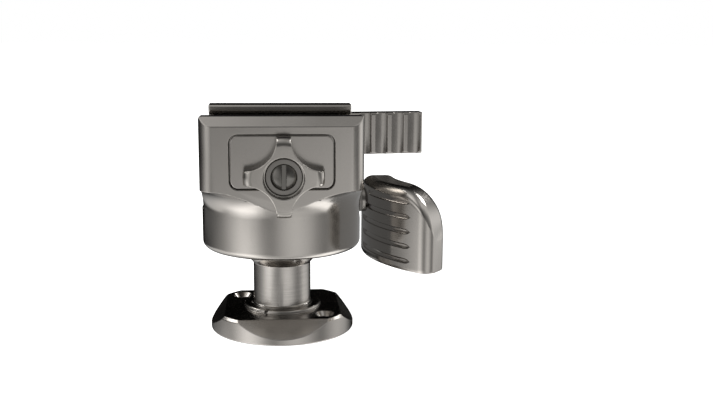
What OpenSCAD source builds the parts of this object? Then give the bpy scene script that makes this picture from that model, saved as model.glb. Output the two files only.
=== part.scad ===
// Low tripod ball head: a round base flange carries the stem and the ball, and the housing
// that clamps the ball holds a quick-release clamp for a dovetail camera plate on its top.
// +Z is up, +Y points away from the adjusting nut, and the origin is the centre of the flange's foot.

/* [Base flange] */
// Radius of the round base flange
flange_r = 27; // [26:0.5:30]
// Height of the flange's flat top over its foot
flange_h = 7.3; // [6.5:0.1:9]
// Bevel round the flange's upper edge
flange_bevel = 0.9; // [0.4:0.1:1.2]
// Width of the left and right facets, from their upper edge to the rim
side_facet_w = 5.6; // [4.5:0.1:6.5]
// Width of the front and back facets, from their upper edge to the rim
front_facet_w = 6.7; // [5:0.1:7]
// Height at which the facets run out on the rim
facet_foot = 2.35; // [1.5:0.05:3.5]
// Radius of the raised boss round the stem
boss_r = 14.5; // [13:0.1:15.5]
// Height of the boss over the flange's top
boss_h = 1.2; // [0.9:0.1:2]
// Distance of the two fixing holes from the rim
fixing_inset = 6.2; // [5.5:0.1:7]
// Direction of the first fixing hole, seen from above
fixing_angle = 138; // [130:1:145]
// Radius of the fixing holes
fixing_hole_r = 2.25; // [2:0.05:2.6]
// Radius of the countersink round each fixing hole
fixing_rim_r = 3.7; // [3:0.1:4]
// Radius of the stem's locking screw
lock_screw_r = 1.5; // [1.25:0.05:1.75]

/* [Stem and ball] */
// Radius of the stem
stem_r = 10.8; // [10:0.05:11.5]
// Radius of the ball
ball_r = 15; // [14.5:0.1:15.5]
// Height of the ball's centre
ball_z = 35.5; // [35:0.1:37]
// Radius of the stem's spigot inside the flange
spigot_r = 9; // [8:0.1:9.8]
// Wall radius of the tripod thread, tapping size of 3/8 inch
tripod_thread_r = 3.97; // [3.9:0.01:4.8]
// Length of the tripod thread
tripod_thread_h = 12; // [10:0.5:14]
// Outer radius of the steel thread bush
bush_r = 6.2; // [5.6:0.1:7]

/* [Ball seats] */
// Gap between the ball, its seats and the housing
seat_gap = 0.15; // [0.1:0.01:0.2]
// Thickness of the two seat rings
seat_t = 2.05; // [1.8:0.05:2.3]
// Outer radius of the threaded ring that keeps the ball in
keeper_r = 19; // [18.5:0.1:21]
// Height of that ring
keeper_h = 3.6; // [3.2:0.1:3.7]

/* [Housing] */
// Radius of the housing's round drum
drum_r = 29.54; // [29:0.01:30.5]
// Depth of the drum's underside below the ball's centre
drum_drop = 3.7; // [3.5:0.1:5]
// Height of the drum, up to the flare
drum_h = 15.7; // [15:0.1:17.5]
// Rounding of the drum's lower edge
drum_round = 2.6; // [2:0.1:5]
// Radius of the flare from the drum to the square top
flare_r = 10; // [9:0.1:11]
// Half width of the square top
box_half_w = 28.7; // [28:0.1:29.5]
// Distance from the axis to the front face of the square top
box_front = 29.94; // [29:0.01:31]
// Radius of its upright corners
box_corner_r = 4.8; // [3:0.1:6]
// Height of the square top, from the flare's start
box_h = 35.2; // [34.5:0.1:36.5]
// Bevel along the front's upper edge
box_bevel = 3.3; // [2:0.1:4]
// Depth below the top of the ledge that the rear jaw slides over
ledge_drop = 25.7; // [24.7:0.1:26.2]

/* [Clamp] */
// Depth of the clamp's floor below the top
floor_drop = 4.5; // [4.1:0.1:4.9]
// Half width of the gap between the two jaw lips
lip_half = 17.3; // [16.8:0.1:17.8]
// Depth below the top at which the sloping flank meets the lip
lip_drop = 2; // [1.8:0.1:2.3]
// Height of the lip's upright nose
lip_nose = 0.6; // [0.4:0.1:0.9]
// Half width of the undercut between the jaws, at the floor
undercut_half = 19.5; // [19.2:0.1:19.8]
// Flat land along the front jaw's top, measured to the axis
land_y = 22; // [20:0.1:24]
// Half width of the rear jaw
jaw_half_w = 27.7; // [26:0.1:28.5]
// Distance from the axis to the rear jaw's back
jaw_back = 29.9; // [29:0.1:31]
// Gap between the housing and the rear jaw, closed
jaw_gap = 1.1; // [1:0.1:1.4]
// Travel of the rear jaw when the lever opens
jaw_travel = 3; // [2:0.1:3.5]

/* [Tie rod and star nut] */
// Sideways place of the tie rod
rod_x = 0.5; // [0:0.1:1]
// Depth of the tie rod below the top
rod_drop = 20.1; // [18.7:0.1:20.7]
// Radius of the tie rod
rod_r = 3; // [2.5:0.1:3.2]
// Half width of the thrust plate in the front face
plate_half_w = 17.7; // [16:0.1:20]
// Depth of the thrust plate's upper edge below the top
plate_drop = 6.5; // [5.7:0.1:7.5]
// Height of the thrust plate
plate_h = 18.2; // [17.2:0.1:18.4]
// Corner radius of the thrust plate
plate_corner_r = 2.6; // [1.5:0.1:4]
// Thickness of the thrust plate
plate_t = 3; // [2:0.1:4]
// Width of the seam round the thrust plate
plate_seam = 0.55; // [0.3:0.05:0.8]
// Thickness of the star nut
nut_t = 7.8; // [7:0.1:9]
// Radius of the star nut's arms
nut_r = 14; // [13:0.1:15]
// Width of an arm at its tip
nut_arm_w = 5.1; // [4:0.1:6]
// Radius of the hollows between the arms
nut_hollow_r = 10.75; // [10:0.05:11.5]
// Rounding from the tips to the nut's face
nut_round = 3; // [2:0.1:4]
// Radius of the recess in the nut's face
nut_recess_r = 7.05; // [6.8:0.05:7.3]
// Depth of that recess
nut_recess = 3.8; // [3:0.1:4]
// Radius of the threaded insert in the nut
insert_r = 6.35; // [5:0.05:6.6]
// Radius of the end screw's domed head
dome_r = 4.4; // [4:0.1:5]
// Height of the domed head
dome_h = 1.5; // [1.2:0.1:1.8]
// Width of the screwdriver slot
slot_w = 1.45; // [1:0.05:1.8]

/* [Quick-release lever] */
// Radius of the round cam
cam_r = 8; // [7.5:0.1:8.5]
// Radius of the cam pin
pin_r = 2.5; // [2:0.1:2.6]
// Angle between the closed handle and the clamp's front
handle_angle = 6.6; // [5:0.1:10]
// Length of the handle from the pin to its tip
handle_l = 58.6; // [54:0.1:62]
// Thickness of the handle
handle_t = 7; // [6:0.1:8]
// Depth of the handle's upper edge below the top
handle_drop = 5; // [3:0.1:5.5]
// Height of the handle
handle_h = 17.2; // [16:0.1:18]
// Distance between the finger scallops
scallop_pitch = 6.88; // [6.5:0.02:7.2]
// Width of a scallop
scallop_w = 5.2; // [4.5:0.1:5.6]
// Depth of a scallop
scallop_depth = 0.85; // [0.5:0.05:1.2]

/* [Ball lock lever] */
// Height of the lock spindle's axis over the ball's centre
spindle_rise = 13.1; // [12.5:0.1:13.5]
// Radius of the lock spindle
spindle_r = 4; // [3:0.1:4.2]
// Gap between the housing's side, at the wider of the drum and the square top, and the paddle
paddle_gap = 1.96; // [1.4:0.01:3.2]
// Radius of the paddle's inner face, seen from above
paddle_inner_r = 51.4; // [48:0.1:56]
// Thickness of the paddle
paddle_t = 12.2; // [11:0.1:13]
// Turn of the paddle round its own curve, from the spindle to the tip
paddle_sweep_angle = 51.5; // [48:0.5:54]
// Depth of the paddle's lower edge below the spindle's axis
paddle_drop = 20.6; // [19:0.1:21.5]
// Height of the paddle's top over the spindle's axis
paddle_rise = 9; // [8.5:0.1:9.9]
// Rounding of the paddle's outer edges
paddle_round = 4; // [2.5:0.1:5]
// Distance between the finger grooves
groove_pitch = 5.3; // [5:0.05:5.6]
// Depth of a finger groove
groove_depth = 0.8; // [0.4:0.05:1.1]

/* [Hidden] */
$fn = 96;
eps = 0.01;
over = 1;
far = 60;

running_gap = 0.05;
press_gap = 0.02;

stem_foot_round = 0.8;
boss_top = flange_h + boss_h;
fixing_place_r = flange_r - fixing_inset;
lock_screw_angle = 45;
lock_screw_z = 3.8;

drum_bottom = ball_z - drum_drop;
flare_z = drum_bottom + drum_h;
box_top = flare_z + box_h;
ledge_z = box_top - ledge_drop;
floor_z = box_top - floor_drop;
lip_z = box_top - lip_drop;

seat_inner = ball_r + seat_gap;
seat_outer = seat_inner + seat_t;
cavity_r = seat_outer + seat_gap;
lower_seat_angles = [115, 128];
upper_seat_angles = [147, 166];
keeper_top = drum_bottom + keeper_h;

undercut_step = 0.9;
jaw_front = undercut_half + undercut_step;
housing_back = jaw_front - jaw_gap;
back_edge_bevel = 1;
jaw_foot_gap = 0.3;
jaw_foot = ledge_z + jaw_foot_gap;
jaw_end_r = 2.3;
jaw_rise = 0.1;
jaw_top = box_top + jaw_rise;
jaw_edge_bevel = 0.7;
jaw_back_bevel = 2.9;
flank_sum = lip_half + lip_z;

rod_z = box_top - rod_drop;
plate_z1 = box_top - plate_drop;
plate_z0 = plate_z1 - plate_h;
rod_clear = 0.3;
rod_hole_r = rod_r + rod_clear;
plate_back = box_front - plate_t;
nut_gap = 0.26;
nut_back = box_front + nut_gap;
nut_face = nut_back + nut_t;
recess_floor = nut_face - nut_recess;
rod_travel = 0.7;
dome_gap = 0.1;
rod_end = recess_floor + rod_travel + dome_gap;

guide_x = 16;
guide_drop = 15.2;
guide_z = box_top - guide_drop;
guide_r = 2;
guide_depth = 16.3;
guide_y0 = housing_back - guide_depth;
guide_end_wall = 3.1;
guide_y1 = jaw_back - guide_end_wall;
spring_r = 3;
spring_wire_r = 0.4;
spring_clear = 0.35;
spring_pocket_r = spring_r + spring_wire_r + spring_clear;
spring_depth = 5.9;
spring_y0 = housing_back - spring_depth;
spring_end_wall = 4.9;
spring_y1 = jaw_back - spring_end_wall;
spring_turns = 6;
// closest approach of one turn of the springs' wire to the next
spring_turn_gap = (spring_y1 - spring_y0 - 2 * spring_wire_r) / spring_turns - 2 * spring_wire_r;
echo(least_gap_in_the_springs = spring_turn_gap);
pin_reach = 1.2;

cam_plate_t = 1.5;
cam_plate_proud = 0.5;
cam_plate_half_w = 9;
cam_plate_margin = [0.9, 0.2];
cam_plate_z0 = ledge_z + cam_plate_margin[0];
cam_plate_z1 = floor_z - cam_plate_margin[1];
cam_face = jaw_back + cam_plate_proud;
cam_gap = 0.15;
// the cam's centre stands this far round from the clamp's axis when the lever is closed
cam_start_angle = 40;
cam_swing_angle = 100;
cam_offset = jaw_travel / (cos(cam_start_angle) - cos(cam_start_angle + cam_swing_angle));
pivot_y = cam_face + cam_gap + cam_r + cam_offset * cos(cam_start_angle);
cam_foot_gap = 0.4;
cam_z0 = ledge_z + cam_foot_gap;
cam_pin_short = 0.1;
cam_plate_corner_r = 1.5;
cam_screw_r = 1.25;
cam_screw_head_r = 2.3;
cam_screw_head_h = 1.1;
cam_screw_l = 5;
cam_screw_side = 6;
cam_screw_x = [rod_x - cam_screw_side, rod_x + cam_screw_side];
cam_screw_drop = 10.2;
cam_screw_z = box_top - cam_screw_drop;
eye_r = 5;
eye_half_h = 3.1;
fork_gap = 0.3;
handle_z1 = box_top - handle_drop;
handle_z0 = handle_z1 - handle_h;
handle_inner = -6;
handle_bevel = 0.7;
handle_end_r = 1.2;
handle_web_l = 24;
scallops = 4;
scallop_margin = 1.3;

spindle_z = ball_z + spindle_rise;
shoe_r = 4.5;
shoe_reach = 3.65;
shoe_back = cavity_r + shoe_reach;
shoe_room = 0.5;
spindle_bush_r = 7;
spindle_bush_x0 = shoe_back + shoe_room;
collar_r = 4.6;
collar_gap = 0.3;
paddle_x = max(box_half_w, drum_r) + paddle_gap;
paddle_z0 = spindle_z - paddle_drop;
paddle_z1 = spindle_z + paddle_rise;
lever_web = 8.5;
lever_seat_x = paddle_x + lever_web;
lever_screw_r = 2;
lever_screw_head_r = 4.3;
lever_screw_l = 6.5;
paddle_lead = 4;
paddle_center = [paddle_x + paddle_inner_r, paddle_lead];
paddle_outer_r = paddle_inner_r - paddle_t;
paddle_mid_r = (paddle_inner_r + paddle_outer_r) / 2;
paddle_rear_angle = -8.3;
paddle_boss_r = 9;
// direction of the paddle's run seen from above, and the place of its slanting end along it
paddle_run_angle = -32.3;
paddle_run = [cos(paddle_run_angle), sin(paddle_run_angle)];
paddle_end = 36.2;
paddle_end_r = 15.6;
paddle_reach = 26.6;
paddle_front_r = 14;
grooves = 5;
groove_margin = 2.8;
groove_z0 = paddle_z0 + groove_margin;
groove_start_angle = 7;
groove_end_angle = 42;
groove_half = 1;
// across a groove: share of its depth, and height in half widths
groove_profile = [[0, -1], [0.9, -0.4], [0.9, 0.4], [0, 1]];
top_steps = 12;

// The sliver outside a quarter circle of radius r about the origin
module corner_waste(r) {
    difference() {
        square(r + over);
        circle(r);
    }
}

// A rectangle with round corners, from its lowest and highest corner
module rounded_rect(low, high, r) {
    for (x = [low[0] + r, high[0] - r], y = [low[1] + r, high[1] - r])
        translate([x, y]) circle(r);
    translate([low[0] + r, low[1]]) square([high[0] - low[0] - 2 * r, high[1] - low[1]]);
    translate([low[0], low[1] + r]) square([high[0] - low[0], high[1] - low[1] - 2 * r]);
}

// A cylinder along +Y from y0 to y1, about the point (x, z)
module rod_y(x, z, y0, y1, r) {
    translate([x, y0, z]) rotate([-90, 0, 0]) cylinder(h = y1 - y0, r = r);
}

// A cylinder along +X from x0 to x1, about the point (y, z)
module rod_x_along(y, z, x0, x1, r) {
    translate([x0, y, z]) rotate([0, 90, 0]) cylinder(h = x1 - x0, r = r);
}

// The wedge that one facet of the flange takes off, on the +X side
module facet_waste(w) {
    rise = flange_h - facet_foot;
    rotate([90, 0, 0]) translate([0, 0, -far / 2]) linear_extrude(far)
        polygon([
            [flange_r - 2 * w, flange_h + rise],
            [flange_r + w, facet_foot - rise],
            [flange_r + w, flange_h + rise]
        ]);
}

module fixing_hole(angle) {
    rotate(angle) translate([fixing_place_r, 0, 0]) {
        translate([0, 0, -over]) cylinder(h = flange_h + 2 * over, r = fixing_hole_r);
        translate([0, 0, flange_h - (fixing_rim_r - fixing_hole_r)])
            cylinder(h = fixing_rim_r - fixing_hole_r + eps, r1 = fixing_hole_r, r2 = fixing_rim_r + eps);
    }
}

module lock_screw_hole(r, from, to) {
    rotate(lock_screw_angle) rod_x_along(0, lock_screw_z, from, to, r);
}

module base_flange() {
    foot_bevel = 0.4;
    color("#8f8c87") difference() {
        union() {
            difference() {
                rotate_extrude() polygon([
                    [0, 0], [flange_r - foot_bevel, 0], [flange_r, foot_bevel],
                    [flange_r, flange_h - flange_bevel], [flange_r - flange_bevel, flange_h], [0, flange_h]
                ]);
                for (turn = [0, 180]) {
                    rotate(turn) facet_waste(side_facet_w);
                    rotate(turn + 90) facet_waste(front_facet_w);
                }
            }
            rotate_extrude() difference() {
                square([boss_r, boss_top]);
                translate([boss_r - stem_foot_round, boss_top - stem_foot_round])
                    corner_waste(stem_foot_round);
            }
        }
        translate([0, 0, -over]) cylinder(h = boss_top + 2 * over, r = spigot_r + press_gap);
        fixing_hole(fixing_angle);
        fixing_hole(fixing_angle + 180);
        lock_screw_hole(lock_screw_r + press_gap, spigot_r - over, flange_r + over);
    }
}

module ball_stem() {
    ball_flat = 0.5;
    foot_land = 0.2;
    color("#9a9792") difference() {
        union() {
            cylinder(h = boss_top + over, r = spigot_r);
            translate([0, 0, boss_top]) cylinder(h = ball_z - boss_top, r = stem_r);
            translate([0, 0, boss_top]) cylinder(h = foot_land, r = stem_r + stem_foot_round);
            translate([0, 0, boss_top + foot_land]) rotate_extrude()
                translate([stem_r + stem_foot_round, stem_foot_round]) rotate(180) intersection() {
                    corner_waste(stem_foot_round);
                    square(stem_foot_round);
                }
            intersection() {
                translate([0, 0, ball_z]) sphere(ball_r);
                cylinder(h = ball_z + ball_r - ball_flat, r = far);
            }
        }
        translate([0, 0, -over]) cylinder(h = tripod_thread_h + over, r = bush_r + press_gap);
        lock_screw_hole(lock_screw_r + press_gap, bush_r + over / 2, spigot_r + over);
    }
}

module thread_bush() {
    color("#6d6b68") difference() {
        cylinder(h = tripod_thread_h, r = bush_r);
        translate([0, 0, -over]) cylinder(h = far, r = tripod_thread_r);
    }
}

module stem_lock_screw() {
    key = 1.5;
    key_depth = 2;
    screw_sunk = 6;
    color("#4c4b49") difference() {
        lock_screw_hole(lock_screw_r, bush_r + over, flange_r - screw_sunk);
        rotate(lock_screw_angle) translate([flange_r - screw_sunk - key_depth, 0, lock_screw_z])
            rotate([0, 90, 0]) cylinder(h = key_depth + over, r = key / sqrt(3), $fn = 6);
    }
}

// A band of the shell round the ball, between two angles measured from straight down
module seat_band(angles) {
    reach = seat_outer + over;
    color("#b08d4f") translate([0, 0, ball_z]) difference() {
        sphere(seat_outer);
        sphere(seat_inner);
        rotate_extrude() polygon([
            [0, 0], reach * [sin(angles[0]), -cos(angles[0])] * 2, [3 * reach, -3 * reach], [0, -3 * reach]
        ]);
        rotate_extrude() polygon([
            [0, 0], reach * [sin(angles[1]), -cos(angles[1])] * 2, [0, 3 * reach]
        ]);
    }
}

module lower_seat_ring() {
    seat_band(lower_seat_angles);
}

module upper_seat_ring() {
    seat_band(upper_seat_angles);
}

// The housing's outside: a drum turned with a flare, cut square over the flare's start
module housing_blank() {
    difference() {
        rotate_extrude() difference() {
            translate([0, drum_bottom]) square([drum_r + flare_r, box_top - drum_bottom]);
            translate([drum_r, drum_bottom - over]) square([flare_r + over, flare_z - drum_bottom + over]);
            translate([drum_r + flare_r, flare_z]) circle(flare_r);
            translate([drum_r - drum_round, drum_bottom + drum_round]) rotate(-90) corner_waste(drum_round);
        }
        translate([0, 0, flare_z]) linear_extrude(far) difference() {
            square(4 * far, center = true);
            rounded_rect([-box_half_w, -box_front], [box_half_w, box_front], box_corner_r);
        }
    }
}

// The profile of the clamp above the housing's floor, seen along +X: the plate lies on a raised
// land between two shallow grooves under the lips
module clamp_channel() {
    land_side_gap = 0.3;
    groove_drop = 0.4;
    land = lip_half - land_side_gap;
    rotate([90, 0, 90]) translate([0, 0, -far / 2]) linear_extrude(far) polygon([
        [-undercut_half, floor_z - groove_drop], [-undercut_half, flank_sum - undercut_half],
        [-lip_half, lip_z], [-lip_half, lip_z + lip_nose],
        [-land_y, box_top + eps], [-land_y, box_top + over],
        [far, box_top + over], [far, floor_z - groove_drop],
        [land, floor_z - groove_drop], [land, floor_z], [-land, floor_z], [-land, floor_z - groove_drop]
    ]);
}

module housing() {
    side_bevel = 0.8;
    color("#8f8c87") difference() {
        housing_blank();
        clamp_channel();
        // step for the rear jaw, and the broken edge over it
        translate([-far, housing_back, ledge_z]) cube([2 * far, far, far]);
        rotate([90, 0, 90]) translate([0, 0, -far / 2]) linear_extrude(far) polygon([
            [housing_back + over, floor_z + eps], [housing_back - back_edge_bevel, floor_z + eps],
            [housing_back, floor_z - back_edge_bevel], [housing_back + over, floor_z - back_edge_bevel]
        ]);
        // bevels of the front jaw
        rotate([90, 0, 90]) translate([0, 0, -far / 2]) linear_extrude(far) polygon([
            [-box_front - over, box_top - box_bevel - over], [-box_front + box_bevel + over, box_top + over],
            [-box_front - over, box_top + over]
        ]);
        for (side = [0, 1]) mirror([side, 0, 0])
            rotate([90, 0, 0]) translate([0, 0, -far / 2]) linear_extrude(far) polygon([
                [box_half_w + over, box_top - side_bevel - over],
                [box_half_w - side_bevel - over, box_top + over], [box_half_w + over, box_top + over]
            ]);
        // room for the ball, its seats and the keeper ring
        intersection() {
            translate([0, 0, ball_z]) sphere(cavity_r);
            translate([0, 0, keeper_top - eps]) cylinder(h = far, r = far);
        }
        translate([0, 0, drum_bottom - over]) cylinder(h = keeper_h + over, r = keeper_r);
        // brake shoe, spindle bush and the flat that the lever's collar faces
        rod_x_along(0, spindle_z, shoe_back / 2, spindle_bush_x0, shoe_r + running_gap);
        rod_x_along(0, spindle_z, spindle_bush_x0 - eps, far, spindle_bush_r);
        // tie rod, thrust plate and guide pins
        rod_y(rod_x, rod_z, -far, far, rod_hole_r);
        translate([0, -plate_back, 0]) rotate([90, 0, 0]) linear_extrude(far)
            rounded_rect([-plate_half_w - plate_seam, plate_z0 - plate_seam],
                [plate_half_w + plate_seam, plate_z1 + plate_seam], plate_corner_r + plate_seam);
        for (x = [-guide_x, guide_x]) {
            rod_y(x, guide_z, guide_y0, far, guide_r + press_gap);
            rod_y(x, guide_z, spring_y0, far, spring_pocket_r);
        }
    }
}

module keeper_ring() {
    spanner_hole_r = 1.1;
    spanner_depth = 2;
    spanner_place = (keeper_r + seat_inner) / 2;
    color("#7d7a76") difference() {
        translate([0, 0, drum_bottom]) cylinder(h = keeper_h, r = keeper_r - press_gap);
        translate([0, 0, ball_z]) sphere(seat_inner);
        for (turn = [0 : 90 : 270])
            rotate(turn) translate([spanner_place, 0, drum_bottom - over])
                cylinder(h = spanner_depth + over, r = spanner_hole_r);
    }
}

module spindle_bush() {
    color("#6d6b68") difference() {
        rod_x_along(0, spindle_z, spindle_bush_x0, box_half_w, spindle_bush_r - press_gap);
        rod_x_along(0, spindle_z, 0, far, spindle_r + running_gap);
    }
}

module thrust_plate() {
    color("#85827d") difference() {
        translate([0, -plate_back - press_gap, 0]) rotate([90, 0, 0]) linear_extrude(plate_t - press_gap)
            rounded_rect([-plate_half_w, plate_z0], [plate_half_w, plate_z1], plate_corner_r);
        rod_y(rod_x, rod_z, -far, far, rod_hole_r);
    }
}

module guide_pins() {
    color("#6d6b68") for (x = [-guide_x, guide_x])
        rod_y(x, guide_z, guide_y0 + over, guide_y1, guide_r);
}

// One point of a coil spring's wire, ring i, side k
function coil_point(i, k, rings, sides, y0, y1) =
    let (turn = 360 * spring_turns * i / rings, side = 360 * k / sides,
         r = spring_r + spring_wire_r * cos(side))
    [r * cos(turn), y0 + (y1 - y0) * i / rings + spring_wire_r * sin(side), r * sin(turn)];

// A plain open coil of round wire along +Y, swept as one unbroken tube
module coil_spring(y0, y1) {
    sides = 6;
    rings = 8 * spring_turns;
    points = [for (i = [0 : rings], k = [0 : sides - 1]) coil_point(i, k, rings, sides, y0, y1)];
    skin = [for (i = [0 : rings - 1], k = [0 : sides - 1])
        let (a = i * sides + k, b = i * sides + (k + 1) % sides)
        each [[a, b, a + sides], [b, b + sides, a + sides]]];
    first_end = [for (k = [1 : sides - 2]) [0, k + 1, k]];
    last = rings * sides;
    last_end = [for (k = [1 : sides - 2]) [last, last + k, last + k + 1]];
    polyhedron(points, concat(skin, first_end, last_end));
}

module jaw_springs() {
    color("#c9c6c0") for (x = [-guide_x, guide_x])
        translate([x, 0, guide_z]) coil_spring(spring_y0 + spring_wire_r, spring_y1 - spring_wire_r);
}

module tie_rod() {
    screw_hole_r = 1.7;
    screw_depth = 7;
    color("#75726e") difference() {
        union() {
            rod_y(rod_x, rod_z, -rod_end, pivot_y, rod_r);
            translate([rod_x, pivot_y, rod_z - eye_half_h]) cylinder(h = 2 * eye_half_h, r = eye_r);
        }
        translate([rod_x, pivot_y, 0]) cylinder(h = 2 * far, r = pin_r + press_gap);
        rod_y(rod_x, rod_z, -rod_end - over, -rod_end + screw_depth, screw_hole_r);
    }
}

module end_screw() {
    shank_r = 1.68;
    shank_l = 6.5;
    slot_depth = 1;
    dome_sphere = (dome_r * dome_r + dome_h * dome_h) / (2 * dome_h);
    color("#55534f") difference() {
        union() {
            intersection() {
                translate([rod_x, -rod_end - dome_h + dome_sphere, rod_z]) sphere(dome_sphere);
                rod_y(rod_x, rod_z, -rod_end - dome_h - over, -rod_end, dome_r);
            }
            rod_y(rod_x, rod_z, -rod_end - eps, -rod_end + shank_l, shank_r);
        }
        translate([rod_x - slot_w / 2, -rod_end - dome_h - over, rod_z - far / 2])
            cube([slot_w, slot_depth + over, far]);
    }
}

module cam_pin() {
    end_bevel = 0.4;
    pin_l = handle_z1 - cam_z0 - 2 * cam_pin_short;
    color("#75726e") translate([rod_x, pivot_y, cam_z0 + cam_pin_short]) rotate_extrude() polygon([
        [0, 0], [pin_r - end_bevel, 0], [pin_r, end_bevel],
        [pin_r, pin_l - end_bevel], [pin_r - end_bevel, pin_l], [0, pin_l]
    ]);
}

// Outline of the star nut: a disc with four round hollows between its arms
module star_outline() {
    // the hollows' centres lie where each hollow leaves the arm's side square to the tip
    hollow_c = nut_arm_w / 2 + nut_hollow_r;
    difference() {
        circle(nut_r);
        for (turn = [0 : 90 : 270])
            rotate(turn) translate([hollow_c, hollow_c]) circle(nut_hollow_r);
    }
}

module star_nut() {
    back_bevel = 0.5;
    color("#8f8c87") difference() {
        translate([rod_x, -nut_back, rod_z]) rotate([90, 0, 0]) difference() {
            intersection() {
                linear_extrude(nut_t) star_outline();
                rotate_extrude() difference() {
                    square([nut_r, nut_t]);
                    translate([nut_r - nut_round, nut_t - nut_round]) corner_waste(nut_round);
                    polygon([
                        [nut_r - back_bevel, -eps], [nut_r + over, -eps], [nut_r + over, back_bevel + over]
                    ]);
                }
            }
            translate([0, 0, nut_t - nut_recess]) cylinder(h = nut_recess + over, r = nut_recess_r);
        }
        rod_y(rod_x, rod_z, -far, 0, insert_r);
    }
}

module nut_insert() {
    insert_sunk = 0.1;
    color("#6d6b68") difference() {
        rod_y(rod_x, rod_z, -recess_floor, -nut_back - insert_sunk, insert_r - press_gap);
        rod_y(rod_x, rod_z, -far, 0, rod_r + running_gap);
    }
}

module rear_jaw() {
    color("#8f8c87") difference() {
        intersection() {
            rotate([90, 0, 90]) translate([0, 0, -jaw_half_w]) linear_extrude(2 * jaw_half_w) polygon([
                [jaw_front, jaw_foot], [jaw_back, jaw_foot], [jaw_back, jaw_top - jaw_back_bevel],
                [jaw_back - jaw_back_bevel, jaw_top], [lip_half + jaw_edge_bevel, jaw_top],
                [lip_half, jaw_top - jaw_edge_bevel], [lip_half, lip_z],
                [jaw_front, flank_sum - jaw_front]
            ]);
            linear_extrude(2 * far)
                rounded_rect([-jaw_half_w, lip_half - over], [jaw_half_w, jaw_back], jaw_end_r);
        }
        rod_y(rod_x, rod_z, 0, far, rod_hole_r);
        for (x = [-guide_x, guide_x]) {
            rod_y(x, guide_z, 0, guide_y1 + pin_reach, guide_r + running_gap);
            rod_y(x, guide_z, 0, spring_y1, spring_pocket_r);
        }
        translate([0, cam_face - cam_plate_t, 0]) rotate([-90, 0, 0]) linear_extrude(far)
            cam_plate_outline(press_gap);
        for (x = cam_screw_x)
            rod_y(x, cam_screw_z, jaw_back - cam_screw_l - over, far, cam_screw_r + press_gap);
    }
}

// Seen from the back, with its own Y pointing down
module cam_plate_outline(grow) {
    rounded_rect([rod_x - cam_plate_half_w - grow, -cam_plate_z1 - grow],
        [rod_x + cam_plate_half_w + grow, -cam_plate_z0 + grow], cam_plate_corner_r);
}

module cam_plate() {
    color("#6d6b68") difference() {
        translate([0, cam_face - cam_plate_t, 0]) rotate([-90, 0, 0]) linear_extrude(cam_plate_t)
            cam_plate_outline(0);
        rod_y(rod_x, rod_z, 0, far, rod_hole_r);
        for (x = cam_screw_x) {
            rod_y(x, cam_screw_z, 0, far, cam_screw_r + press_gap);
            translate([x, cam_face - cam_screw_head_h, cam_screw_z]) rotate([-90, 0, 0])
                cylinder(h = cam_screw_head_h + eps,
                    r1 = cam_screw_r + press_gap, r2 = cam_screw_head_r + press_gap);
        }
    }
}

module cam_plate_screws() {
    key = 1.5;
    key_depth = 1;
    head_sunk = 0.1;
    color("#4c4b49") for (x = cam_screw_x)
        translate([x, cam_face, cam_screw_z]) rotate([-90, 0, 0]) difference() {
            union() {
                translate([0, 0, -cam_screw_l - head_sunk]) cylinder(h = cam_screw_l, r = cam_screw_r);
                translate([0, 0, -cam_screw_head_h])
                    cylinder(h = cam_screw_head_h - head_sunk, r1 = cam_screw_r, r2 = cam_screw_head_r - head_sunk);
            }
            translate([0, 0, -head_sunk - key_depth]) cylinder(h = key_depth + over, r = key / sqrt(3), $fn = 6);
        }
}

// The handle in plan, about the cam's pin, with its tip along +X
module handle_outline() {
    rounded_rect([-handle_end_r, handle_inner], [handle_l, handle_inner + handle_t], handle_end_r);
    polygon([
        [0, handle_inner + 1], [handle_web_l, handle_inner + handle_t - eps], [1.5, cam_r - 1.9], [0, cam_r - 1.9]
    ]);
}

module quick_release_lever() {
    scallop_r = (scallop_w * scallop_w / 4 + scallop_depth * scallop_depth) / (2 * scallop_depth);
    slot_z0 = rod_z - eye_half_h - fork_gap;
    slot_h = 2 * (eye_half_h + fork_gap);
    low = handle_inner;
    high = handle_inner + handle_t;
    color("#8f8c87") translate([rod_x, pivot_y, 0]) rotate(handle_angle) difference() {
        union() {
            translate([
                cam_offset * cos(cam_start_angle - 90 - handle_angle),
                cam_offset * sin(cam_start_angle - 90 - handle_angle), cam_z0
            ]) cylinder(h = handle_z1 - cam_z0, r = cam_r);
            intersection() {
                translate([0, 0, handle_z0]) linear_extrude(handle_z1 - handle_z0) handle_outline();
                rotate([90, 0, 90]) translate([0, 0, -cam_r]) linear_extrude(far + cam_r) polygon([
                    [low, handle_z0 + handle_bevel], [low + handle_bevel, handle_z0],
                    [far, handle_z0], [far, handle_z1],
                    [low + handle_bevel, handle_z1], [low, handle_z1 - handle_bevel]
                ]);
            }
        }
        for (i = [0 : scallops - 1])
            translate([handle_l - scallop_margin - scallop_w / 2 - i * scallop_pitch,
                low - scallop_r + scallop_depth, 0])
                cylinder(h = 2 * far, r = scallop_r);
        // room for the tie rod's eye over the lever's whole swing, and the pin
        translate([-far + eye_r + fork_gap, -far, slot_z0]) cube([far, 2 * far, slot_h]);
        cylinder(h = 2 * far, r = pin_r + running_gap);
    }
}

module brake_shoe() {
    color("#b08d4f") difference() {
        rod_x_along(0, spindle_z, shoe_back / 2 + over / 2, shoe_back, shoe_r);
        translate([0, 0, ball_z]) sphere(cavity_r);
    }
}

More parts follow.
